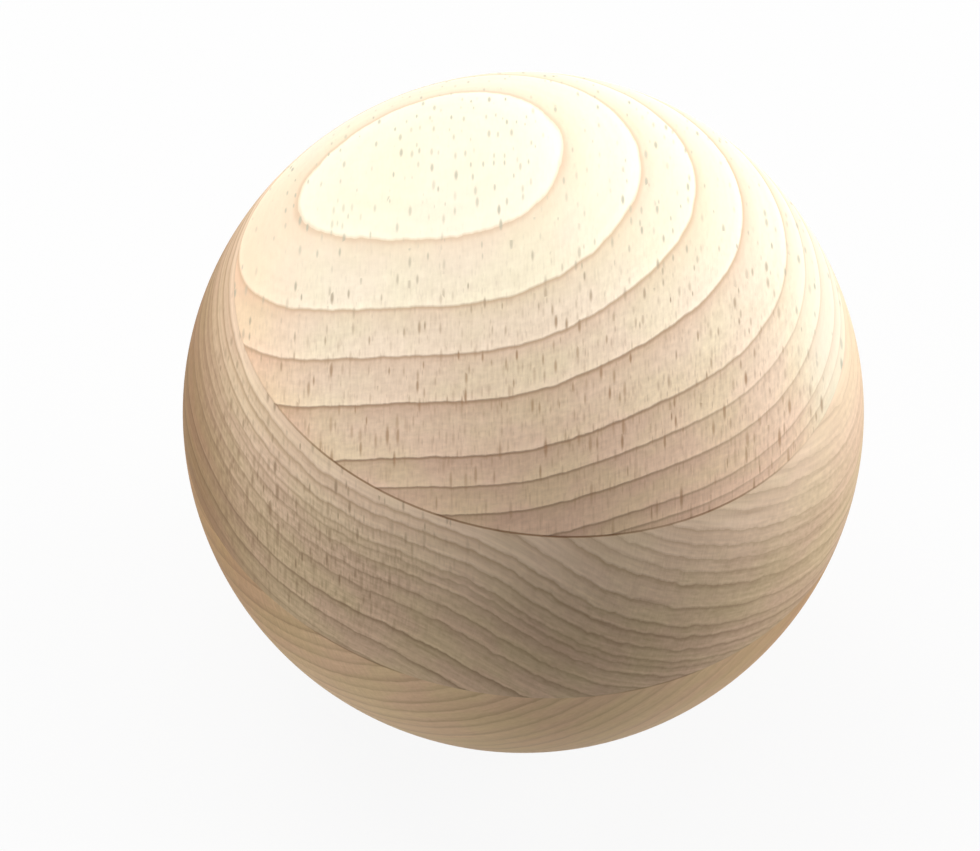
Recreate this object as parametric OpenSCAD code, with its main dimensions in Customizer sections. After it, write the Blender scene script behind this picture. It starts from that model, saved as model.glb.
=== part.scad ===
// A wooden ball, turned from a blank of three beech boards.
// The boards are glued flat, one on the other, with all their fibres along Y.
// The origin is the centre of the ball, and +Z points up across the boards.
// Each board is what the ball leaves of one rectangular board of the blank.

/* [Ball] */
// Diameter of the finished ball
ball_d = 100; // [80:1:160]

/* [Glued blank] */
// Height of the joint between the top and middle boards, above the centre
upper_joint_z = 23; // [10:0.5:30]
// Thickness of the middle board, which lies between the two glue joints
middle_t = 29; // [15:0.5:40]
// Wood that is turned away between each side of the blank and the ball
turning_allowance = 4; // [1:0.5:10]

/* [Hidden] */
$fn = 128;

// Where the two glue joints cross the ball, and where the blank ends
ball_r = ball_d / 2;
lower_joint_z = upper_joint_z - middle_t;
blank_top_z = ball_r + turning_allowance;
blank_bottom_z = -blank_top_z;
blank_side = ball_d + 2 * turning_allowance;

// The form that the lathe leaves: a true ball about the blank's centre.
module ball_form() {
    sphere(r = ball_r);
}

// One board of the blank, square in plan, between two heights.
module blank_board(z_from, z_to) {
    translate([-blank_side / 2, -blank_side / 2, z_from])
        cube([blank_side, blank_side, z_to - z_from]);
}

// What turning leaves of one board: flat where it is glued, round elsewhere.
module turned_board(z_from, z_to) {
    intersection() {
        blank_board(z_from, z_to);
        ball_form();
    }
}

// Top board: a cap with one glued face, sawn flat, so its rings lie in arcs.
module top_board() {
    color("wheat")
        turned_board(upper_joint_z, blank_top_z);
}

// Middle board: the band between the joints, of slower grown wood.
module middle_board() {
    color("burlywood")
        turned_board(lower_joint_z, upper_joint_z);
}

// Bottom board: the thickest one, with one glued face.
module bottom_board() {
    color("tan")
        turned_board(blank_bottom_z, lower_joint_z);
}

top_board();
middle_board();
bottom_board();
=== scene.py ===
# %% [markdown]
# # A wooden ball, turned from three glued beech boards
#
# The real thing is a plain turned ball. Its blank was three beech boards, glued flat on one
# another, so the ball shows a different cut of the wood on each side: the top board was sawn
# flat and gives long ovals, the other two show their rings as stripes. The wood is sanded and
# has no finish on it. Everything that the eye enjoys here is in the grain, so this script
# spends its effort on where the rings of each board run, and on the material that draws them.

import math

import bpy
import numpy as np
from mathutils import Matrix, Vector


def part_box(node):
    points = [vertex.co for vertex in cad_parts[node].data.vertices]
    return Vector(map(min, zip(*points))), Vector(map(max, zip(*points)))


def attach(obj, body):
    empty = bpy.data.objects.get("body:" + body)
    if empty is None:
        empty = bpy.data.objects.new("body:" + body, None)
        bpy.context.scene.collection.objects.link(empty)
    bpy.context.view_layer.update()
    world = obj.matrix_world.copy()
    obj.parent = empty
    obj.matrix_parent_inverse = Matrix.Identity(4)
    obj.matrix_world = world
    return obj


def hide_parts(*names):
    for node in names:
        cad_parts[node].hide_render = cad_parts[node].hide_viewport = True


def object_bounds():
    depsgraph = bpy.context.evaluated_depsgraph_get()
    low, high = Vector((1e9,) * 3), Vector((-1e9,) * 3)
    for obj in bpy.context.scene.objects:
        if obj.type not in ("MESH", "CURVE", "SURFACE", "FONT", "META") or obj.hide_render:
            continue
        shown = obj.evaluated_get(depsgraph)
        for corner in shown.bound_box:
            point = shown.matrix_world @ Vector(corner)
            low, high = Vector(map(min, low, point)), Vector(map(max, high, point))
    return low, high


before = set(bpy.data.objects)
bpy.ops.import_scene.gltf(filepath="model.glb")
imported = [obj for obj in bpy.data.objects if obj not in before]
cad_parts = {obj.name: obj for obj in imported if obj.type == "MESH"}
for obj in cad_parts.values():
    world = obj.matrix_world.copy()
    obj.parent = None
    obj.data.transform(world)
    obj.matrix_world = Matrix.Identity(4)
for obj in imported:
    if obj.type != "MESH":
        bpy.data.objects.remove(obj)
cad_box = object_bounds()
print("CAD box in metres:", cad_box)

# %% [markdown]
# ## Sizes
#
# The boards come from the CAD model, so the script asks the frame where each one starts and
# ends. Wood is easier to think about in millimetres, so the grain is worked out in those and
# the mesh is written in metres.

# %% Sizes from the frame
MM = 0.001
BOARDS = ("top_board", "middle_board", "bottom_board")
board_box = {name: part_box(name) for name in BOARDS}
ball_r = (cad_box[1][2] - cad_box[0][2]) / 2 / MM
upper_joint = board_box["middle_board"][1][2] / MM
lower_joint = board_box["middle_board"][0][2] / MM
print(f"ball radius {ball_r:.2f} mm, joints at {upper_joint:.2f} and {lower_joint:.2f} mm")

# %% [markdown]
# ## The surface of one turned board
#
# Each board of the ball is a slice of a sphere: a curved band that the lathe left, closed by
# the flat faces that are glued to its neighbours. A sphere primitive cut with booleans would
# leave long thin triangles at the joints. A profile swept round the upright axis puts a clean
# row of vertices exactly on each joint, and gives even faces for the grain to be stored on.


# %% A profile swept round the axis
def swept_surface(radii, heights, around):
    """Vertices and faces of a closed shape turned round Z.

    Point (i, j) is (r_i cos a_j, r_i sin a_j, z_i), where a_j goes once round in equal steps.
    The first and last points of the profile lie on the axis, and each becomes one vertex.
    """
    angle = np.arange(around) * (2 * np.pi / around)
    r = radii[1:-1, None]
    z = np.repeat(heights[1:-1, None], around, axis=1)
    rows = np.stack([r * np.cos(angle), r * np.sin(angle), z], axis=-1).reshape(-1, 3)
    ends = np.array([[0, 0, heights[0]], [0, 0, heights[-1]]])
    points = np.concatenate([rows, ends])
    count = len(radii) - 2
    here = np.arange(around)
    after = (here + 1) % around
    base = np.arange(count - 1)[:, None] * around
    quads = np.stack([base + here, base + after, base + around + after, base + around + here], axis=-1)
    first, last = len(rows), len(rows) + 1
    top_row = (count - 1) * around
    fan_low = np.stack([np.full(around, first), after, here], axis=-1)
    fan_high = np.stack([np.full(around, last), top_row + here, top_row + after], axis=-1)
    return points, quads.reshape(-1, 4), np.concatenate([fan_low, fan_high])


def board_profile(z_low, z_high, band_rows, face_rows):
    """Profile of one board from its lower axis point to its upper one.

    A flat face is a row of growing radii at one height, and the band is an arc of the ball in
    equal angles. Where the board ends in the ball's own pole there is no flat face.
    """
    low = math.acos(-z_low / ball_r)
    high = math.acos(-z_high / ball_r)
    arc = np.linspace(low, high, band_rows + 1)
    radii = [ball_r * np.sin(arc)]
    heights = [-ball_r * np.cos(arc)]
    share = np.arange(face_rows) / face_rows
    if z_low > -ball_r:
        radii.insert(0, radii[0][0] * share)
        heights.insert(0, np.full(face_rows, z_low))
    if z_high < ball_r:
        radii.append(radii[-1][-1] * share[::-1])
        heights.append(np.full(face_rows, z_high))
    radii = np.concatenate(radii)
    radii[[0, -1]] = 0
    return radii, np.concatenate(heights)


# %% [markdown]
# ## Where the rings run
#
# A tree's rings are nested shells round its pith. Each board was cut from another place in the
# log, so each has its own formula for one number: how far out from the pith a point lies, in
# millimetres of growth. A list of the distances at which a year ended then turns that into the
# age of the wood at the point. The formula is solid, so the pattern runs through the joint
# faces and round to the back as real wood does, with no seam.
#
# The years are not alike, so the lists are set one value at a time: the distances to the
# nearest half millimetre, and beside them how dark each year's line is, from 0 to 1.


# %% Rings of the top board
def top_growth(x, y, z):
    """Distance from a pith that lies 100 mm below the centre and 43.5 mm to the right.

    The pith runs along the fibres Y and leans a little to the right with y. The log bows by a
    small term in y squared, and a slow wave of a third of a millimetre runs along the rings.
    """
    u = y / ball_r
    across = x - 43.5 - 0.17 * y
    depth = z + 100 + 0.04 * y
    bow = (0.75 + 2.5 * x / ball_r) * u**2
    along_ring = 2.5 * np.arctan2(x, z + 100)
    wave = -0.35 * np.sin(9 * along_ring + 1.3 * u + 5.9)
    growth = np.hypot(across, depth) + bow + wave
    tangential = x + 0.06 * y + 0.11 * z
    return growth, tangential


TOP_RINGS = (118, 121, 124.5, 126.5, 130.5, 134, 137.5, 143.5, 148, 152, 156.5, 162)
TOP_STRENGTH = (0.7, 0.7, 0.75, 0.8, 0.9, 0.9, 1.0, 0.95, 0.8, 0.7, 0.6, 0.5)


# %% Rings of the middle board
def middle_growth(x, y, z):
    """Height above nearly flat rings that bend down to the right.

    The bend is a soft corner, slope times width times log(1 + e^t), whose line leans with
    height, and a slow wave of 0.6 mm with a length of 47 mm runs across the board. Near the
    left edge the rings dip a little.
    """
    slope = 0.4
    softness = 4.5
    corner = (x + 17 - 0.6 * z) / softness
    bend = slope * softness * np.logaddexp(0, corner)
    wave = -0.6 * np.cos(2 * np.pi * (x + 7) / 47)
    growth = z + bend + wave - 0.07 * np.maximum(-38 - x, 0) * (1 - z / 23)
    lean = slope / (1 + np.exp(-corner))
    tangential = x + 0.06 * y + 0.11 * z - 0.6 * lean * (z - 8.5)
    return growth, tangential


MIDDLE_RINGS = (-11, -7.5, -4, 0, 4, 8.5, 11, 13.5, 15, 16, 18, 20, 21.5,
                24, 27, 28.5, 30, 31.5, 33, 35, 36.5, 38, 40, 42.5)
MIDDLE_STRENGTH = (0.5, 0.5, 0.5, 0.8, 1, 0.7, 0.6, 0.6, 0.6, 0.65, 0.8, 0.9, 0.8,
                   0.8, 0.8, 0.5, 0.45, 0.55, 0.5, 0.5, 0.4, 0.4, 0.4, 0.4)


# %% Rings of the bottom board
def bottom_growth(x, y, z):
    """Distance from a pith up and to the left of the ball, with a lean of the log along Y."""
    across = x + 68
    depth = z - 75
    growth = np.hypot(across, depth) - 0.12 * y
    tangential = 110 * np.arctan2(across, -depth)
    return growth, tangential


BOTTOM_RINGS = (80, 84, 88, 92, 96.5, 99, 101.5, 105, 107.5, 110.5, 113, 116, 118,
                121, 124, 126, 128.5, 131.5, 135, 138, 142, 145, 149, 153, 157)
BOTTOM_STRENGTH = (0.7, 0.7, 0.8, 0.8, 0.9, 0.7, 0.7, 0.8, 0.4, 0.8, 0.7, 0.8, 0.6,
                   0.8, 0.35, 0.5, 0.5, 0.4, 0.4, 0.5, 0.5, 0.5, 0.5, 0.5, 0.5)


# %% [markdown]
# ## Unfolding a board
#
# A UV map lays the curved skin out flat, so that the finish can be stored in an image later.
# A cap unfolds into one disc without a seam, with distances from the pole kept. The middle
# board is a long ribbon, so it is cut into three strips that lie one above the other. The
# glued faces are out of sight, so each gets only a small disc in a free corner.


# %% Flat layouts for a cap and for a ribbon
MARGIN = 0.01
STRIPS = 3
# Radius of a glued face's disc, and where the discs of a cap and of the ribbon lie.
SMALL_DISC = 0.05
CAP_CORNERS = ((0.07, 0.07), (0.07, 0.07))
RIBBON_CORNERS = ((0.07, 0.93), (0.23, 0.93))


def disc_layout(points, side, center, radius, reach):
    """A disc whose radius grows with the angle from the pole on that side, up to reach."""
    from_pole = np.arccos(np.clip(side * points[:, 2] / ball_r, -1, 1))
    turn = np.arctan2(side * points[:, 1], points[:, 0])
    out = radius * from_pole / reach
    return np.stack([center[0] + out * np.cos(turn), center[1] + out * np.sin(turn)], axis=-1)


def ribbon_layout(points, middles, z_low, z_high):
    """Three strips. A corner takes the strip of its own face, whose middle is given."""
    third = 2 * np.pi / STRIPS
    middle = np.arctan2(middles[:, 1], middles[:, 0]) % (2 * np.pi)
    turn = np.arctan2(points[:, 1], points[:, 0])
    turn = middle + (turn - middle + np.pi) % (2 * np.pi) - np.pi
    strip = np.floor(middle / third)
    low, high = np.arcsin(z_low / ball_r), np.arcsin(z_high / ball_r)
    share = (np.arcsin(np.clip(points[:, 2] / ball_r, -1, 1)) - low) / (high - low)
    tall = (high - low) / third
    u = MARGIN + (1 - 2 * MARGIN) * (turn / third - strip)
    v = MARGIN + strip * (tall * (1 - 2 * MARGIN) + MARGIN) + share * tall * (1 - 2 * MARGIN)
    return np.stack([u, v], axis=-1)


def add_bake_map(mesh, points, z_low, z_high):
    """Writes the layout of every face corner into a UV map."""
    corner = np.empty(len(mesh.loops), int)
    mesh.loops.foreach_get("vertex_index", corner)
    sides = np.empty(len(mesh.polygons), int)
    mesh.polygons.foreach_get("loop_total", sides)
    middle = np.add.reduceat(points[corner], np.cumsum(sides) - sides) / sides[:, None]
    middles = np.repeat(middle, sides, axis=0)
    at = points[corner]
    is_cap = z_low <= -ball_r or z_high >= ball_r
    if is_cap:
        side = 1 if z_high >= ball_r else -1
        rim = z_low if side > 0 else z_high
        uv = disc_layout(at, side, (0.5, 0.5), 0.5 - MARGIN, math.acos(side * rim / ball_r))
    else:
        uv = ribbon_layout(at, middles, z_low, z_high)
    for z, center in zip((z_low, z_high), CAP_CORNERS if is_cap else RIBBON_CORNERS):
        flat = np.abs(middles[:, 2] - z) < 1e-6
        scale = SMALL_DISC / math.sqrt(max(ball_r**2 - z**2, 1))
        uv[flat] = np.array(center) + at[flat, :2] * scale * (1, 1 if z == z_high else -1)
    layer = mesh.uv_layers.new(name="OFBake")
    layer.uv.foreach_set("vector", uv.astype(np.float32).ravel())
    print(f"UV map from {uv.min():.3f} to {uv.max():.3f}")


# %% [markdown]
# ## Making a board's mesh
#
# The vertices carry the wood with them, in three attributes. The first holds the ring age, the
# width of the ring there and how dark its line is. The second holds the three directions of
# wood in millimetres: along the ring, along the fibre, and out from the pith. The third holds
# three slow changes across the ball: a painted highlight that washes the colours out, a painted
# shade, darker and warmer, and calmer wood. The material reads them at every point, so the same
# material nodes serve a flat-sawn face and end grain alike.


# %% Slow changes across the ball: painted light and shade, calmer and fainter wood
# The most that a stretch of fainter wood takes off the darkness of a year line.
FADE = 0.7


def smooth_step(start, end, value):
    """0 below start, 1 above end, and 3 t^2 - 2 t^3 between them."""
    t = np.clip((value - start) / (end - start), 0, 1)
    return t * t * (3 - 2 * t)


def tone(points, stretches):
    """How far a change has gone, from 0 to 1: the most that any of the stretches gives.

    A stretch is (direction, start, end). The change runs along the direction, from the start
    to the end, as shares of the ball's radius.
    """
    shares = []
    for direction, start, end in stretches:
        along = points @ np.array(direction) / (ball_r * np.linalg.norm(direction))
        shares.append(smooth_step(start, end, along))
    return np.max(shares, axis=0)


# %% Build a board
def make_board(name, z_low, z_high, around, band_rows, face_rows, grain, rings, strength,
               painted_highlight, painted_shade, calmer, fainter):
    """One board as a closed mesh, with its wood stored in three vertex attributes.

    The next four arguments list stretches: where a highlight is painted, where a shade is painted,
    where the wood is calmer and where it is fainter. Calmer wood has fewer streaks and flecks, and
    fainter wood has weaker rings.
    """
    radii, heights = board_profile(z_low, z_high, band_rows, face_rows)
    points, quads, fans = swept_surface(radii, heights, around)
    mesh = bpy.data.meshes.new(name + "_turned")
    faces = quads.tolist() + fans.tolist()
    mesh.from_pydata((points * MM).tolist(), [], faces)
    x, y, z = points.T
    growth, tangential = grain(x, y, z)
    marks = np.array(rings, float)
    middles = (marks[1:] + marks[:-1]) / 2
    age = np.interp(growth, marks, np.arange(len(marks)))
    width = np.interp(growth, middles, np.diff(marks))
    dark = np.interp(growth, marks, strength)
    # The first two channels are painted light: a highlight and a shade. The third is calmer wood.
    tones = [tone(points, stretches) for stretches in (painted_highlight, painted_shade, calmer)]
    dark = dark * (1 - FADE * tone(points, fainter))
    layers = (("rings", (age, width, dark)), ("wood", (tangential, y, growth)), ("tone", tones))
    for label, values in layers:
        layer = mesh.attributes.new(label, "FLOAT_VECTOR", "POINT")
        layer.data.foreach_set("vector", np.stack(values, axis=-1).astype(np.float32).ravel())
    add_bake_map(mesh, points, z_low, z_high)
    mesh.shade_smooth()
    mesh.set_sharp_from_angle(angle=math.radians(15))
    mesh.update()
    piece = bpy.data.objects.new(name + "_turned", mesh)
    bpy.context.scene.collection.objects.link(piece)
    triangles = 2 * len(quads) + len(fans)
    print(f"{name}: {len(points)} vertices, {triangles} triangles, ages {age.min():.1f} to {age.max():.1f}")
    return piece


# %% [markdown]
# ## The three boards
#
# Each board takes its two heights, the number of faces round and along its band, its rings,
# and then four lists of stretches: where a highlight is painted, where a shade is painted, and
# where the wood turns calmer or fainter.
# The band has many small faces, because its vertices carry the rings. The hidden glued faces
# have only a few rows.

# %% Make the boards
top = make_board(
    "top_board", upper_joint, ball_r, 700, 120, 6, top_growth, TOP_RINGS, TOP_STRENGTH,
    # painted highlight: lighter towards the back of the crown and on the right side
    [((-0.2, 0.86, 0.5), -0.56, 0.42), ((1, 0.3, 0.5), 0.71, 0.93)],
    # painted shade: darker and warmer towards the left
    [((-1, -0.1, -0.35), 0.35, 0.8)],
    [((0, -0.86, -0.5), 0.0, 1.0)],
    [((1, -0.3, 0.3), 0.62, 0.98)],
)
middle = make_board(
    "middle_board", lower_joint, upper_joint, 720, 72, 6, middle_growth, MIDDLE_RINGS, MIDDLE_STRENGTH,
    # painted highlight: lighter towards the top
    [((0, 0, 1), 0.1, 0.48)],
    # painted shade: darker and warmer towards the lower left and the lower right
    [((-1, 0.1, -0.5), 0.46, 0.86), ((1, -0.3, -0.8), 0.66, 1.2)],
    [((0.64, 0.64, -0.42), -0.96, -0.76)],
    [((1, 0, 0), 0.5, 1.1)],
)
bottom = make_board(
    "bottom_board", -ball_r, lower_joint, 620, 140, 6, bottom_growth, BOTTOM_RINGS, BOTTOM_STRENGTH,
    # painted sheen: lighter towards the lower pole
    [((0, 0, -1), 0.22, 0.55)],
    # painted shade: darker and warmer towards the left and right sides
    [((-1, 0, 0), 0.38, 1.0), ((1, 0, 0), 0.4, 1.05)],
    [((1, 0, 0), -0.8, 0.0)],
    [((1, 0, 0), 0.2, 0.9)],
)

# %% [markdown]
# ## Small helpers for node trees
#
# A wood material is mostly arithmetic, so short helpers keep the node code readable. The first
# adds a node and fills its inputs. The others each add one kind of node, such as a Math node
# or a noise, and hand back its result.


# %% Node helpers
def add_node(tree, kind, inputs=(), **settings):
    """A new node with settings, its inputs filled by (name or number, value or socket) pairs."""
    made = tree.nodes.new(kind)
    for key, value in settings.items():
        setattr(made, key, value)
    for key, value in inputs:
        if isinstance(value, bpy.types.NodeSocket):
            tree.links.new(value, made.inputs[key])
        else:
            made.inputs[key].default_value = value
    return made


def calc(tree, operation, *values, clamp=False):
    """The result of a Math node on up to three values or sockets."""
    pairs = list(enumerate(values))
    return add_node(tree, "ShaderNodeMath", pairs, operation=operation, use_clamp=clamp).outputs[0]


def ramp(tree, value, start, end, low=0.0, high=1.0):
    """A smooth step: low where value is at start, high where it is at end."""
    pairs = [("Value", value), ("From Min", start), ("From Max", end), ("To Min", low), ("To Max", high)]
    return add_node(tree, "ShaderNodeMapRange", pairs, interpolation_type="SMOOTHSTEP").outputs["Result"]


def mix_color(tree, factor, first, second, blend="MIX"):
    """The Mix node in its colour form."""
    made = add_node(tree, "ShaderNodeMix", data_type="RGBA", blend_type=blend)
    for key, value in (("Factor_Float", factor), ("A_Color", first), ("B_Color", second)):
        socket = next(s for s in made.inputs if s.identifier == key)
        if isinstance(value, bpy.types.NodeSocket):
            tree.links.new(value, socket)
        else:
            socket.default_value = value
    return next(s for s in made.outputs if s.identifier == "Result_Color")


def vector_calc(tree, operation, first, second):
    """The result of a Vector Math node on two vectors, each of them values or a socket."""
    return add_node(tree, "ShaderNodeVectorMath", [(0, first), (1, second)], operation=operation).outputs[0]


def noise(tree, vector, squeeze, detail):
    """Noise from 0 to 1 on a vector whose three axes are multiplied by squeeze first."""
    squeezed = vector_calc(tree, "MULTIPLY", vector, squeeze)
    pairs = [("Vector", squeezed), ("Scale", 1.0), ("Detail", detail)]
    return add_node(tree, "ShaderNodeTexNoise", pairs).outputs["Fac"]


def swing(tree, value, amount):
    """A value from 0 to 1 made to swing about zero: (value - 0.5) * amount."""
    return calc(tree, "MULTIPLY", calc(tree, "SUBTRACT", value, 0.5), amount)


def seen_directly(tree):
    """1 for what the camera sees, also in a mirror or through glass, and 0 for light itself."""
    path = add_node(tree, "ShaderNodeLightPath")
    seen = calc(tree, "MAXIMUM", path.outputs["Is Camera Ray"], path.outputs["Is Glossy Ray"])
    return calc(tree, "MAXIMUM", seen, path.outputs["Is Transmission Ray"])


def new_group(name, inputs, outputs):
    """An empty shader node group with named sockets. Returns it with its two end nodes."""
    group = bpy.data.node_groups.new(name, "ShaderNodeTree")
    for label, kind, value in inputs:
        socket = group.interface.new_socket(label, in_out="INPUT", socket_type=kind)
        if value is not None:
            socket.default_value = value
    for label, kind in outputs:
        group.interface.new_socket(label, in_out="OUTPUT", socket_type=kind)
    return group, group.nodes.new("NodeGroupInput"), group.nodes.new("NodeGroupOutput")


FLOAT = "NodeSocketFloat"
COLOR = "NodeSocketColor"
VECTOR = "NodeSocketVector"

# %% [markdown]
# ## Rays
#
# Beech is known by its rays: thin sheets of cells that run out from the pith. Cut across, on a
# flat-sawn face, they are short dark dashes along the fibre; on end grain they are fine lines
# square to the rings. A solid cell pattern gives both at once. Each cell holds one long flat
# lens, thin along the ring, longer along the fibre and long outwards, and a random size and
# darkness for each lens keeps the pattern from looking printed.


# %% Group: rays
def build_rays():
    """Lens-shaped flecks in a cell pattern.

    The mask falls from 1 to 0 with the distance from the lens centre, each axis measured in
    half sizes of the lens, over the random size of that lens, 0.55 to 1.35.
    """
    group, given, result = new_group(
        "Beech rays",
        [
            ("Wood", VECTOR, None),
            ("Spacing", VECTOR, (2.0, 4.0, 20.0)),
            ("Half size", VECTOR, (0.11, 0.9, 8.0)),
            ("Seed", FLOAT, 0.0),
        ],
        [("Mask", FLOAT), ("Random", FLOAT)],
    )
    cells = vector_calc(group, "DIVIDE", given.outputs["Wood"], given.outputs["Spacing"])
    cells = vector_calc(group, "ADD", cells, given.outputs["Seed"])
    pairs = [("Vector", cells), ("Scale", 1.0), ("Randomness", 1.0)]
    voronoi = add_node(group, "ShaderNodeTexVoronoi", pairs, voronoi_dimensions="3D", feature="F1")
    away = vector_calc(group, "SUBTRACT", cells, voronoi.outputs["Position"])
    away = vector_calc(group, "MULTIPLY", away, given.outputs["Spacing"])
    away = vector_calc(group, "DIVIDE", away, given.outputs["Half size"])
    chance = add_node(group, "ShaderNodeSeparateColor", [("Color", voronoi.outputs["Color"])])
    size = calc(group, "MULTIPLY_ADD", chance.outputs["Red"], 0.8, 0.55)
    length = add_node(group, "ShaderNodeVectorMath", [(0, away)], operation="LENGTH").outputs["Value"]
    mask = ramp(group, calc(group, "DIVIDE", length, size), 1.1, 0.3)
    dark = calc(group, "MULTIPLY", mask, calc(group, "MULTIPLY_ADD", chance.outputs["Green"], 0.65, 0.35))
    group.links.new(dark, result.inputs["Mask"])
    group.links.new(chance.outputs["Blue"], result.inputs["Random"])
    return group


rays_group = build_rays()
print("group:", rays_group.name, [s.name for s in rays_group.interface.items_tree])

# %% [markdown]
# ## The beech group
#
# One group turns the three attributes into a colour, a roughness and a height. A year starts
# with creamy open wood, darkens to a tan or pink late wood, and ends in a thin dark line, sharp
# on its outer side. Fine streaks follow the fibre, small specks break the surface up, slow clouds
# shift the colour over centimetres, and the rays lie on top. Over all of it a highlight and a
# shade are painted into the colour, where the third attribute puts them. Each board places the
# group with its own colours and sizes. It is built in steps, one short function for each.

# %% Inputs of the beech group
BEECH_INPUTS = [
    ("Rings", VECTOR, None),
    ("Wood", VECTOR, None),
    ("Tone", VECTOR, None),
    ("Early wood", COLOR, (0.8, 0.65, 0.48, 1)),
    ("Late wood", COLOR, (0.7, 0.5, 0.35, 1)),
    # The four highlit colours are lit copies of the colours above them, put in where a highlight is
    # painted; the brown after them is multiplied in where a shade is painted.
    ("Pale early wood", COLOR, (0.84, 0.74, 0.6, 1)),
    ("Pale late wood", COLOR, (0.78, 0.64, 0.48, 1)),
    ("Year line", COLOR, (0.35, 0.22, 0.13, 1)),
    ("Pale year line", COLOR, (0.6, 0.42, 0.27, 1)),
    ("Ray color", COLOR, (0.3, 0.2, 0.12, 1)),
    ("Pale ray color", COLOR, (0.45, 0.38, 0.3, 1)),
    ("Brown", COLOR, (0.8, 0.66, 0.5, 1)),
    ("Pink", COLOR, (1.0, 0.95, 0.96, 1)),
    ("Olive", COLOR, (0.98, 0.99, 0.92, 1)),
    ("Line width", FLOAT, 0.35),
    ("Line edge", FLOAT, 0.18),
    ("Line strength", FLOAT, 0.7),
    ("Late length", FLOAT, 1.3),
    ("Fresh", FLOAT, 0.08),
    ("Bands", FLOAT, 0.05),
    ("Wobble", FLOAT, 0.15),
    ("Ray spacing", VECTOR, (2.0, 4.0, 20.0)),
    ("Ray half size", VECTOR, (0.11, 0.9, 8.0)),
    ("Ray strength", FLOAT, 0.7),
    ("Fine ray strength", FLOAT, 0.3),
    ("Streaks", FLOAT, 0.08),
    ("Specks", FLOAT, 0.04),
    ("Seed", FLOAT, 0.0),
]
BEECH_OUTPUTS = [("Color", COLOR), ("Roughness", FLOAT), ("Height", FLOAT)]
print("the beech group takes", len(BEECH_INPUTS), "inputs")

# %% [markdown]
# ### The year's own pattern
#
# The age counts years, so its whole part is the number of the year and its fraction is how far
# the year had got. Times the width of the year, the fraction gives distances in millimetres,
# and all of the pattern within a year follows from those: a line where the year ended, late
# wood that builds up before it, and the palest wood just after it.


# %% Lines, late wood and fresh wood
def year_pattern(group, get, wood):
    """Masks of the year line, of the late wood before it and of the fresh wood after it.

    The rings wander along their length: 2 (noise - 0.5) wobble / width is added to the age.
    The line is sharp outside and soft inside. Late wood is e^(-distance / late length), and
    the fresh wood is the same from the other side, over half that length. Some years, by
    chance, have less late wood.
    """
    age, width, dark = add_node(group, "ShaderNodeSeparateXYZ", [(0, get["Rings"])]).outputs
    near = noise(group, wood, (0.45, 0.09, 0.1), 3.0)
    shift = calc(group, "MULTIPLY", swing(group, near, get["Wobble"]), 2.0)
    age = calc(group, "ADD", age, calc(group, "DIVIDE", shift, width))
    number = calc(group, "FLOOR", age)
    part = calc(group, "FRACT", age)
    to_line = calc(group, "MULTIPLY", calc(group, "SUBTRACT", 1.0, part), width)
    from_line = calc(group, "MULTIPLY", part, width)
    chance = add_node(group, "ShaderNodeTexWhiteNoise", [("W", number)], noise_dimensions="1D")

    inner = ramp(group, calc(group, "DIVIDE", to_line, get["Line width"]), 1.0, 0.0)
    outer = ramp(group, calc(group, "DIVIDE", from_line, get["Line edge"]), 1.0, 0.0)
    line = calc(group, "MULTIPLY", calc(group, "MAXIMUM", inner, outer), dark)
    back = calc(group, "MULTIPLY", get["Late length"], -1.0)
    late = calc(group, "EXPONENT", calc(group, "DIVIDE", to_line, back))
    late = calc(group, "MULTIPLY", late, calc(group, "MULTIPLY_ADD", chance.outputs["Value"], 0.3, 0.7))
    late = calc(group, "MULTIPLY", late, calc(group, "MULTIPLY_ADD", dark, 0.7, 0.3))
    fresh = calc(group, "EXPONENT", calc(group, "DIVIDE", from_line, calc(group, "MULTIPLY", back, 0.5)))
    fresh = calc(group, "MULTIPLY", fresh, dark)
    return line, late, fresh


# %% [markdown]
# ### Colour over centimetres
#
# Sawn wood is never one colour: a slow cloud of noise tints the wood a little rosy in one place
# and a little olive in the next. Light and shade are painted in as well: where the highlight is
# painted, the colours are mixed with lit copies of them, and where the shade is painted a brown
# is multiplied in. Under the painted highlight the clouds are held back.


# %% Colours of the wood, lines and rays
def wood_colors(group, get, wood, late, highlight_mask, strong_highlight_mask, painted_shade):
    """Wood colour between the lines with painted highlight and shade, and line and ray colours with painted
    highlight.
    """
    # Painted highlight: lit copies of the colours mixed in.
    early_color = mix_color(group, highlight_mask, get["Early wood"], get["Pale early wood"])
    late_color = mix_color(group, highlight_mask, get["Late wood"], get["Pale late wood"])
    line_color = mix_color(group, strong_highlight_mask, get["Year line"], get["Pale year line"])
    ray_color = mix_color(group, strong_highlight_mask, get["Ray color"], get["Pale ray color"])
    color = mix_color(group, late, early_color, late_color)
    # Painted shade: a brown tint multiplied in.
    color = mix_color(group, painted_shade, color, get["Brown"], "MULTIPLY")
    pink = ramp(group, noise(group, wood, (0.1, 0.05, 0.2), 3.0), 0.33, 0.64)
    hue = mix_color(group, pink, get["Olive"], get["Pink"])
    # The clouds are held back under the painted highlight.
    color = mix_color(group, calc(group, "MULTIPLY_ADD", highlight_mask, -0.5, 1.0), color, hue, "MULTIPLY")
    return color, line_color, ray_color


# %% [markdown]
# ### Fine grain
#
# Three noises, each squeezed along its own directions, make the fine grain: bands that run
# with the rings, streaks that run with the fibre, and specks with little direction. Together
# they brighten or darken the wood by a few parts in a hundred. Darker wood is also a little
# warmer, so green changes slightly more than red, and blue more than green.

# %% Bands, streaks and specks
GREEN_TINT = 1.15
BLUE_TINT = 1.3


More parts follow.
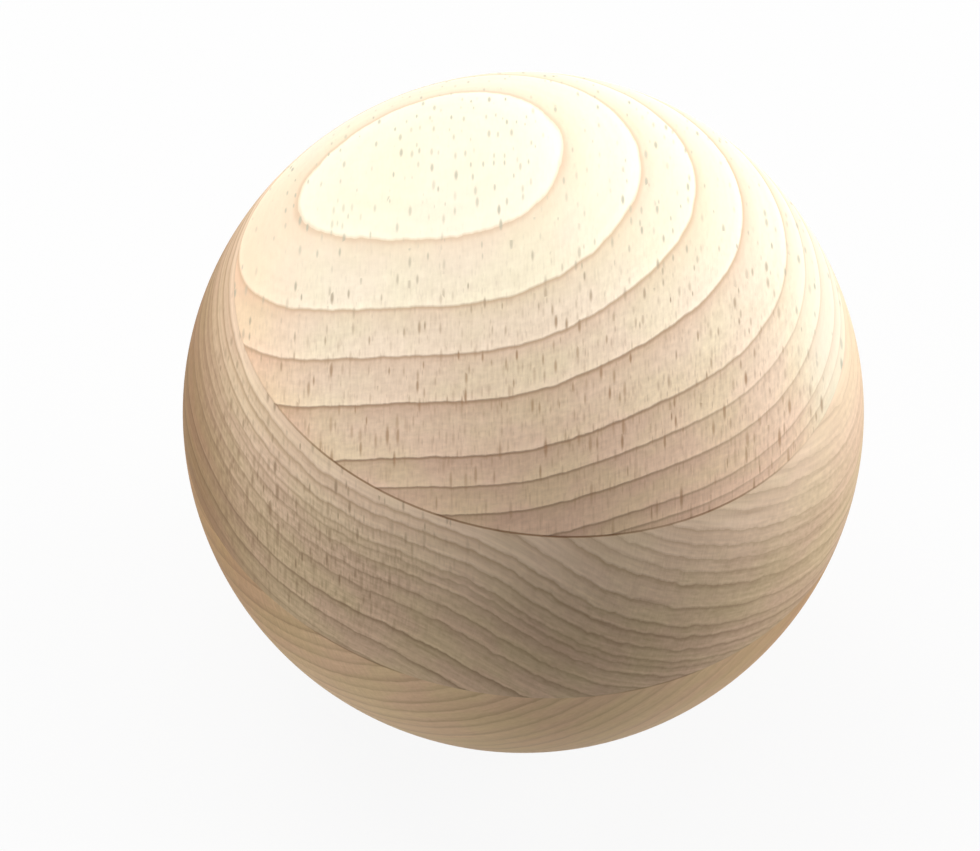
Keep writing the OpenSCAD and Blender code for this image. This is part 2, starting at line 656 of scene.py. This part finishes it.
def grain_shade(group, get, wood, fibre, fresh, lively, plain):
    """A colour near white to multiply in: 1 + 4 (streaks + specks + bands), and fresh wood."""
    band = noise(group, wood, (0.12, 0.03, 1.7), 4.0)
    streak = calc(group, "MULTIPLY", swing(group, fibre, get["Streaks"]), lively)
    # plain falls under the strongest painted highlight, so the streaks and specks wash out there.
    streak = calc(group, "MULTIPLY", streak, plain)
    speck = swing(group, noise(group, wood, (0.9, 0.9, 2.2), 2.0), get["Specks"])
    streak = calc(group, "ADD", streak, calc(group, "MULTIPLY", speck, plain))
    bands = swing(group, band, get["Bands"])
    bright = calc(group, "MULTIPLY_ADD", calc(group, "ADD", streak, bands), 4.0, 1.0)
    bright = calc(group, "ADD", bright, calc(group, "MULTIPLY", fresh, get["Fresh"]))
    pairs = [(0, bright)]
    for channel, tint in ((1, GREEN_TINT), (2, BLUE_TINT)):
        pairs.append((channel, calc(group, "MULTIPLY_ADD", bright, tint, 1 - tint)))
    return add_node(group, "ShaderNodeCombineColor", pairs).outputs[0]


# %% [markdown]
# ### Flecks
#
# The rays group is used twice: once for the bold flecks and once, smaller and set closer
# together, for the faint ones between them. Under the strongest painted highlight about a third of
# the bold flecks are left out and the faint ones fade, as a bright highlight washes them out, and
# in calm wood all of them fade.

# %% Bold and fine flecks
FINE_SPACING = (0.45, 0.6, 0.5)
FINE_SIZE = (0.7, 0.7, 0.6)
FINE_SEED = 31.0


def place_rays(group, wood, spacing, half_size, seed):
    """The rays group with its four inputs linked. Returns its outputs."""
    rays = add_node(group, "ShaderNodeGroup", node_tree=rays_group)
    for label, socket in (("Wood", wood), ("Spacing", spacing), ("Half size", half_size), ("Seed", seed)):
        group.links.new(socket, rays.inputs[label])
    return rays.outputs


def fleck_mask(group, get, strong_highlight_mask, lively, plain):
    """How strongly a fleck shows: the stronger of the bold and the fine ones, less in calm wood."""
    bold = place_rays(group, get["Wood"], get["Ray spacing"], get["Ray half size"], get["Seed"])
    fine = place_rays(
        group,
        get["Wood"],
        vector_calc(group, "MULTIPLY", get["Ray spacing"], FINE_SPACING),
        vector_calc(group, "MULTIPLY", get["Ray half size"], FINE_SIZE),
        calc(group, "ADD", get["Seed"], FINE_SEED),
    )
    # Under the strongest painted highlight some bold flecks are left out.
    kept = calc(group, "GREATER_THAN", bold["Random"], calc(group, "MULTIPLY", strong_highlight_mask, 0.35))
    flecks = calc(group, "MULTIPLY", bold["Mask"], calc(group, "MULTIPLY", get["Ray strength"], kept))
    faint = calc(group, "MULTIPLY", fine["Mask"], get["Fine ray strength"])
    faint = calc(group, "MULTIPLY", faint, plain)
    return calc(group, "MULTIPLY", calc(group, "MAXIMUM", flecks, faint), lively)


# %% [markdown]
# ### The group itself
#
# The steps are joined in the order in which the eye meets them: wood, grain, year lines,
# flecks. The height follows the same masks, because a line and a fleck are slightly sunken
# after sanding, and the fibre gives the fine tooth of a surface that has no finish.


# %% Group: beech
def build_beech():
    """Colour, roughness and height of beech from its rings, its wood directions, painted light and
    calmness.
    """
    group, given, result = new_group("Beech", BEECH_INPUTS, BEECH_OUTPUTS)
    get = given.outputs
    wood = vector_calc(group, "ADD", get["Wood"], get["Seed"])
    # The third attribute holds a painted highlight, a painted shade and calmer wood. The cube of the
    # highlight marks where it is painted strongest, and plain drops there so the fine grain washes out.
    highlight_mask, painted_shade, calmer = add_node(group, "ShaderNodeSeparateXYZ", [(0, get["Tone"])]).outputs
    strong_highlight_mask = calc(group, "POWER", highlight_mask, 3.0)
    lively = calc(group, "MULTIPLY_ADD", calmer, -0.92, 1.0)
    plain = calc(group, "MULTIPLY_ADD", strong_highlight_mask, -0.8, 1.0)
    fibre = noise(group, wood, (2.6, 0.4, 0.5), 4.0)

    line, late, fresh = year_pattern(group, get, wood)
    color, line_color, ray_color = wood_colors(group, get, wood, late, highlight_mask, strong_highlight_mask, painted_shade)
    shade = grain_shade(group, get, wood, fibre, fresh, lively, plain)
    color = mix_color(group, 1.0, color, shade, "MULTIPLY")
    color = mix_color(group, calc(group, "MULTIPLY", line, get["Line strength"]), color, line_color)
    flecks = fleck_mask(group, get, strong_highlight_mask, lively, plain)
    color = mix_color(group, flecks, color, ray_color)

    height = calc(group, "MULTIPLY", line, -0.6)
    height = calc(group, "SUBTRACT", height, calc(group, "MULTIPLY", flecks, 0.8))
    height = calc(group, "ADD", height, calc(group, "MULTIPLY", fibre, 0.8))
    group.links.new(color, result.inputs["Color"])
    group.links.new(calc(group, "MULTIPLY_ADD", fibre, 0.2, 0.6), result.inputs["Roughness"])
    group.links.new(height, result.inputs["Height"])
    return group


beech_group = build_beech()
print("group:", beech_group.name, len(beech_group.nodes), "nodes")

# %% [markdown]
# ## Glue lines
#
# Where two boards meet, the glue film shows as a hairline round the ball. It is far too thin
# to model, and it crosses two pieces, so a small group draws it from the height in the ball:
# dark within a fraction of a millimetre of either joint. The glue shows more in one place than
# in the next, so a slow noise breaks the lines up, the lower one most. Both grow faint towards
# the left and right ends.


# %% Group: glue line
# Where the lines start and end growing faint, as shares of the radius, and what is left.
FAINT_FROM = 0.5
FAINT_TO = 0.85
FAINTEST = 0.15


def build_glue_line():
    """A mask that is 1 on the two joint planes and fades over a fraction of a millimetre."""
    group, given, result = new_group(
        "Glue line",
        [("Upper joint", FLOAT, 0.0), ("Lower joint", FLOAT, 0.0), ("Half width", FLOAT, 0.2)],
        [("Mask", FLOAT)],
    )
    place = add_node(group, "ShaderNodeTexCoord").outputs["Object"]
    apart = add_node(group, "ShaderNodeSeparateXYZ", [(0, place)]).outputs
    height = calc(group, "DIVIDE", apart["Z"], MM)
    above = calc(group, "ABSOLUTE", calc(group, "SUBTRACT", height, given.outputs["Upper joint"]))
    below = calc(group, "ABSOLUTE", calc(group, "SUBTRACT", height, given.outputs["Lower joint"]))
    patch = add_node(group, "ShaderNodeTexNoise", [("Vector", place), ("Scale", 55.0)]).outputs["Fac"]
    upper = ramp(group, calc(group, "DIVIDE", above, given.outputs["Half width"]), 1.0, 0.2)
    upper = calc(group, "MULTIPLY", upper, ramp(group, patch, 0.3, 0.6, 0.6, 1.0))
    lower_half = calc(group, "MULTIPLY", given.outputs["Half width"], 1.5)
    lower = ramp(group, calc(group, "DIVIDE", below, lower_half), 1.0, 0.0)
    lower = calc(group, "MULTIPLY", lower, ramp(group, patch, 0.45, 0.65, 0.0, 0.7))
    aside = calc(group, "ABSOLUTE", apart["X"])
    clear = ramp(group, aside, FAINT_FROM * ball_r * MM, FAINT_TO * ball_r * MM, 1.0, FAINTEST)
    mask = calc(group, "MULTIPLY", calc(group, "MAXIMUM", upper, lower), clear)
    group.links.new(mask, result.inputs["Mask"])
    return group


glue_group = build_glue_line()
print("group:", glue_group.name, len(glue_group.nodes), "nodes")

# %% [markdown]
# ## The material of a board
#
# The material itself is short: the three attributes go into the beech group, the glue line is
# multiplied over its colour, and a Principled shader takes colour, roughness and a very slight
# bump. Sanded bare wood has hardly any gloss, so the specular level is low.

# %% One board's material
GLUE_COLOR = (0.47, 0.38, 0.30, 1)
GLUE_HALF_WIDTH = 0.22


def board_material(name, **values):
    """A Principled material fed by the beech and glue groups, with this board's own values."""
    material = bpy.data.materials.new(name)
    material.use_nodes = True
    tree = material.node_tree
    tree.nodes.clear()
    beech = add_node(tree, "ShaderNodeGroup", node_tree=beech_group)
    for label in ("Rings", "Wood", "Tone"):
        stored = add_node(tree, "ShaderNodeAttribute", attribute_name=label.lower())
        tree.links.new(stored.outputs["Vector"], beech.inputs[label])
    for label, value in values.items():
        beech.inputs[label.replace("_", " ")].default_value = value
    glue = add_node(
        tree,
        "ShaderNodeGroup",
        [("Upper joint", upper_joint), ("Lower joint", lower_joint), ("Half width", GLUE_HALF_WIDTH)],
        node_tree=glue_group,
    )
    color = mix_color(tree, glue.outputs["Mask"], beech.outputs["Color"], GLUE_COLOR, "MULTIPLY")
    height = calc(tree, "SUBTRACT", beech.outputs["Height"], glue.outputs["Mask"])
    bump = add_node(tree, "ShaderNodeBump", [("Strength", 0.35), ("Distance", 0.00012), ("Height", height)])
    shader = add_node(
        tree,
        "ShaderNodeBsdfPrincipled",
        [("Base Color", color), ("Roughness", beech.outputs["Roughness"]), ("Normal", bump.outputs[0])],
    )
    shader.inputs["Specular IOR Level"].default_value = 0.2
    output = add_node(tree, "ShaderNodeOutputMaterial")
    tree.links.new(shader.outputs[0], output.inputs[0])
    print("material:", name)
    return material


# %% [markdown]
# ## Three boards, three looks
#
# The top board is the palest and has the boldest flecks and the crispest lines. The middle one
# is darker and more brown, with soft lines that wander and many small flecks. The bottom one is
# warm and quiet. Each also has lit colours for its painted highlight and a brown tint for its
# painted shade. The values are widths in millimetres, strengths from 0 to 1, and linear colours.

# %% Materials of the three boards
top_beech = board_material(
    "top_board_beech",
    Early_wood=(0.872, 0.635, 0.445, 1),
    Late_wood=(0.565, 0.375, 0.26, 1),
    Year_line=(0.34, 0.215, 0.13, 1),
    Ray_color=(0.385, 0.205, 0.1, 1),
    # Lit colours for the painted highlight, and the tint of the painted shade:
    Pale_early_wood=(0.84, 0.772, 0.612, 1),
    Pale_late_wood=(0.7, 0.515, 0.36, 1),
    Pale_year_line=(0.6, 0.42, 0.27, 1),
    Pale_ray_color=(0.45, 0.42, 0.325, 1),
    Brown=(1.05, 0.86, 0.74, 1),
    Line_width=0.38,
    Line_edge=0.18,
    Line_strength=0.8,
    Late_length=1.3,
    Fresh=0.2,
    Bands=0.03,
    Wobble=0.2,
    Ray_spacing=(1.6, 2.3, 9),
    Ray_half_size=(0.25, 0.95, 3.8),
    Ray_strength=0.9,
    Fine_ray_strength=0.37,
    Streaks=0.1,
    Specks=0.07,
)
middle_beech = board_material(
    "middle_board_beech",
    Early_wood=(0.675, 0.505, 0.34, 1),
    Late_wood=(0.425, 0.30, 0.19, 1),
    Year_line=(0.28, 0.18, 0.1, 1),
    Ray_color=(0.265, 0.162, 0.085, 1),
    # Lit colours for the painted highlight, and the tint of the painted shade:
    Pale_early_wood=(0.875, 0.685, 0.5, 1),
    Pale_late_wood=(0.60, 0.42, 0.275, 1),
    Pale_year_line=(0.4, 0.26, 0.16, 1),
    Pale_ray_color=(0.34, 0.235, 0.15, 1),
    Brown=(0.5, 0.4, 0.29, 1),
    Line_width=0.6,
    Line_edge=0.3,
    Line_strength=0.41,
    Late_length=1.2,
    Fresh=0.07,
    Bands=0.12,
    Wobble=0.55,
    Ray_spacing=(1.1, 1.95, 3),
    Ray_half_size=(0.27, 0.8, 1.7),
    Ray_strength=0.72,
    Fine_ray_strength=0.4,
    Streaks=0.12,
    Specks=0.09,
    Seed=7.0,
)
bottom_beech = board_material(
    "bottom_board_beech",
    Early_wood=(0.765, 0.555, 0.35, 1),
    Late_wood=(0.55, 0.38, 0.225, 1),
    Year_line=(0.36, 0.23, 0.13, 1),
    Ray_color=(0.38, 0.27, 0.16, 1),
    # Lit colours for the painted highlight, and the tint of the painted shade:
    Pale_early_wood=(0.88, 0.655, 0.42, 1),
    Pale_late_wood=(0.72, 0.515, 0.315, 1),
    Pale_year_line=(0.42, 0.27, 0.15, 1),
    Pale_ray_color=(0.4, 0.28, 0.17, 1),
    Brown=(0.62, 0.52, 0.40, 1),
    Line_width=0.9,
    Line_edge=0.5,
    Line_strength=0.25,
    Late_length=1.1,
    Fresh=0.05,
    Bands=0.05,
    Wobble=0.3,
    Ray_spacing=(1.6, 3, 4),
    Ray_half_size=(0.15, 1, 1.3),
    Ray_strength=0.35,
    Fine_ray_strength=0.25,
    Streaks=0.1,
    Specks=0.05,
    Seed=19.0,
)

# %% [markdown]
# ## Into the frame
#
# Each turned board stands for the CAD board of the same name, which is hidden, and rides on
# the one body that the ball has.

# %% Join the pieces to the frame
for piece, name, material in (
    (top, "top_board", top_beech),
    (middle, "middle_board", middle_beech),
    (bottom, "bottom_board", bottom_beech),
):
    piece.data.materials.append(material)
    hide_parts(name)
    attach(piece, "root")

# %% [markdown]
# ## Floor, light and camera
#
# The ball stands on a plain white sweep. To the camera the floor is nearly white; to the ball
# it gives back less, as a small white card on a dark table would. The world behind it works in
# the same way: white where it is seen, and nearly dark as a light.

# %% Floor
FLOOR_HALF = 4.0
FLOOR_BOUNCE = (0.5, 0.5, 0.5, 1)
FLOOR_SEEN = (0.05, 0.05, 0.05, 1)
FLOOR_GLOW = (0.918, 0.918, 0.918, 1)


def make_floor():
    """A wide flat square under the ball, at the height of its lowest point."""
    half = FLOOR_HALF
    z = cad_box[0][2]
    corners = [(-half, -half, z), (half, -half, z), (half, half, z), (-half, half, z)]
    mesh = bpy.data.meshes.new("floor")
    mesh.from_pydata(corners, [], [(0, 1, 2, 3)])
    floor = bpy.data.objects.new("floor", mesh)
    bpy.context.scene.collection.objects.link(floor)
    material = bpy.data.materials.new("white_sweep")
    material.use_nodes = True
    tree = material.node_tree
    tree.nodes.clear()
    seen = seen_directly(tree)
    shade = mix_color(tree, seen, FLOOR_BOUNCE, FLOOR_SEEN)
    matt = add_node(tree, "ShaderNodeBsdfDiffuse", [("Color", shade)])
    glow = add_node(tree, "ShaderNodeEmission", [("Color", FLOOR_GLOW), ("Strength", seen)])
    both = add_node(tree, "ShaderNodeAddShader", [(0, matt.outputs[0]), (1, glow.outputs[0])])
    output = add_node(tree, "ShaderNodeOutputMaterial")
    tree.links.new(both.outputs[0], output.inputs[0])
    mesh.materials.append(material)


make_floor()
print(f"floor at {cad_box[0][2]:.3f} m")

# %% [markdown]
# ## Lamps
#
# Four large soft lamps stand round the ball, all at one distance. The key lamp is high at the
# far left and the back lamp higher still behind, so the crown is bright. The right lamp is low
# and lights that whole side. The near lamp, weak and low at the left, keeps the near side from
# going dark, so it falls into soft shade.

# %% Lamps
LAMP_DISTANCE = 1.2


def add_lamp(name, azimuth, elevation, size, level):
    """A square soft lamp that faces the ball. Level 1 shows a colour as it is written.

    Azimuth turns from the far side (+Y) towards the right (+X). A lamp of P watts gives the
    ball P / (pi d^2) of light, and a matt colour shows as written at pi, so P = level pi^2 d^2.
    """
    a, e = math.radians(azimuth), math.radians(elevation)
    aim = Vector((math.sin(a) * math.cos(e), math.cos(a) * math.cos(e), math.sin(e)))
    lamp = bpy.data.lights.new(name, "AREA")
    lamp.size = size
    lamp.energy = level * math.pi**2 * LAMP_DISTANCE**2
    body = bpy.data.objects.new(name, lamp)
    body.rotation_mode = "QUATERNION"
    body.rotation_quaternion = aim.to_track_quat("Z", "Y")
    body.location = aim * LAMP_DISTANCE
    bpy.context.scene.collection.objects.link(body)
    print(f"{name}: {lamp.energy:.1f} W at {LAMP_DISTANCE} m")


for name, azimuth, elevation, size, level in (
    ("key_lamp", 305, 56, 0.8, 0.78),
    ("back_lamp", 20, 66, 0.8, 0.485),
    ("right_lamp", 73, 20, 0.8, 0.97),
    ("near_lamp", 250, 22, 0.7, 0.385),
):
    add_lamp(name, azimuth, elevation, size, level)

# %% World
WORLD_LIGHT = 0.02
WORLD_SEEN = 0.955


def make_world():
    """A plain backdrop: nearly white to the camera, and almost no light on the ball."""
    world = bpy.data.worlds.new("studio")
    bpy.context.scene.world = world
    world.use_nodes = True
    tree = world.node_tree
    tree.nodes.clear()
    level = calc(tree, "MULTIPLY_ADD", seen_directly(tree), WORLD_SEEN, WORLD_LIGHT)
    backdrop = add_node(tree, "ShaderNodeBackground", [("Color", (1, 1, 1, 1)), ("Strength", level)])
    output = add_node(tree, "ShaderNodeOutputWorld")
    tree.links.new(backdrop.outputs[0], output.inputs[0])


make_world()
print("world light", WORLD_LIGHT, "and seen", WORLD_LIGHT + WORLD_SEEN)

# %% [markdown]
# ## Camera
#
# A long lens, twenty radii away, looks steeply down at the ball and is a little rolled, so the
# glue joints run aslant. The lens is long, so the ball hardly changes shape in perspective.

# %% Camera
# The way from the ball to the lens, and roughly up in the picture, in the ball's own axes.
TOWARDS_LENS = (-0.0402, -0.6789, 0.7331)
PICTURE_UP = (-0.1187, 0.7318, 0.6711)
LENS_RADII_AWAY = 20
SENSOR_MM = 36
LENS_MM = 249.93
SHIFT = (-0.034, -0.0134)


def add_camera():
    """A camera whose axes are right, up and backwards: up is made square to the view first."""
    towards = Vector(TOWARDS_LENS).normalized()
    up = Vector(PICTURE_UP)
    up = (up - towards * up.dot(towards)).normalized()
    right = up.cross(towards)
    lens = bpy.data.cameras.new("camera")
    lens.sensor_width = SENSOR_MM
    lens.lens = LENS_MM
    lens.shift_x, lens.shift_y = SHIFT
    body = bpy.data.objects.new("camera", lens)
    distance = LENS_RADII_AWAY * ball_r * MM
    turn = Matrix((right, up, towards)).transposed().to_4x4()
    body.matrix_world = Matrix.Translation(towards * distance) @ turn
    bpy.context.scene.collection.objects.link(body)
    bpy.context.scene.camera = body
    print(f"camera {distance:.2f} m from the centre, lens {LENS_MM} mm")


add_camera()
bpy.context.scene.view_settings.view_transform = "Standard"
